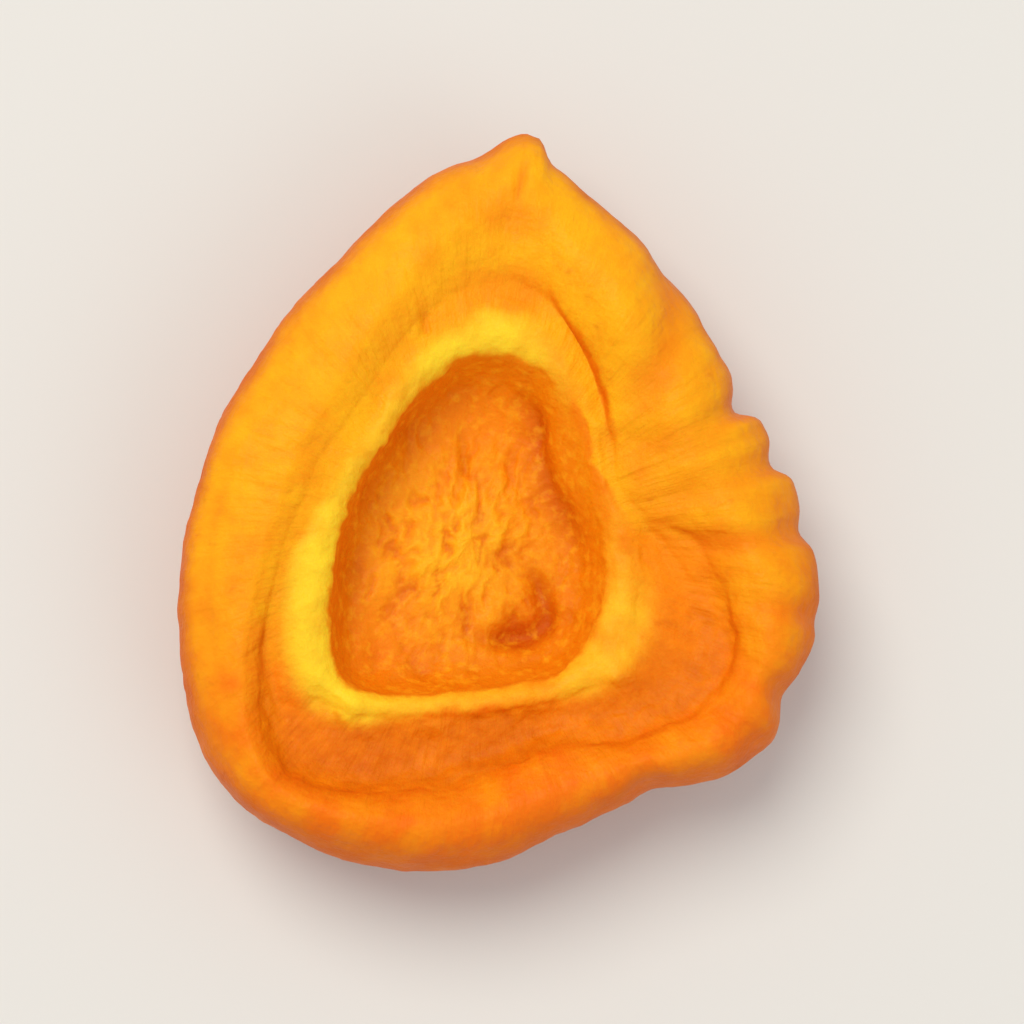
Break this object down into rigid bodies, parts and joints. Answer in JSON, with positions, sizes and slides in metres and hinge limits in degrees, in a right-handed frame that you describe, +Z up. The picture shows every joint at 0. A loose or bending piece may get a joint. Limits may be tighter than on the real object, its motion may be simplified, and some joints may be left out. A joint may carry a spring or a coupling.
{
  "type": "dried apricot half",
  "caption": "Dried apricot half lying cut side up, with its skin rolled in over the cut face round an open, ringed stone hollow.",
  "frame": {"origin": "middle of the footprint, on the surface that the fruit rests on", "axes": "+Z up through the open cut side, +Y towards the fruit's pointed tip, +X to the right seen from above"},
  "size_m": [0.0394, 0.0464, 0.0136],
  "materials": {
    "dried_apricot": "satin, slightly translucent dried fruit: pebbled orange skin, rough darker cut flesh, pale yellow ring round the hollow"
  },
  "bodies": {
    "root": {"apricot_half": "dried_apricot"}
  },
  "joints": []
}
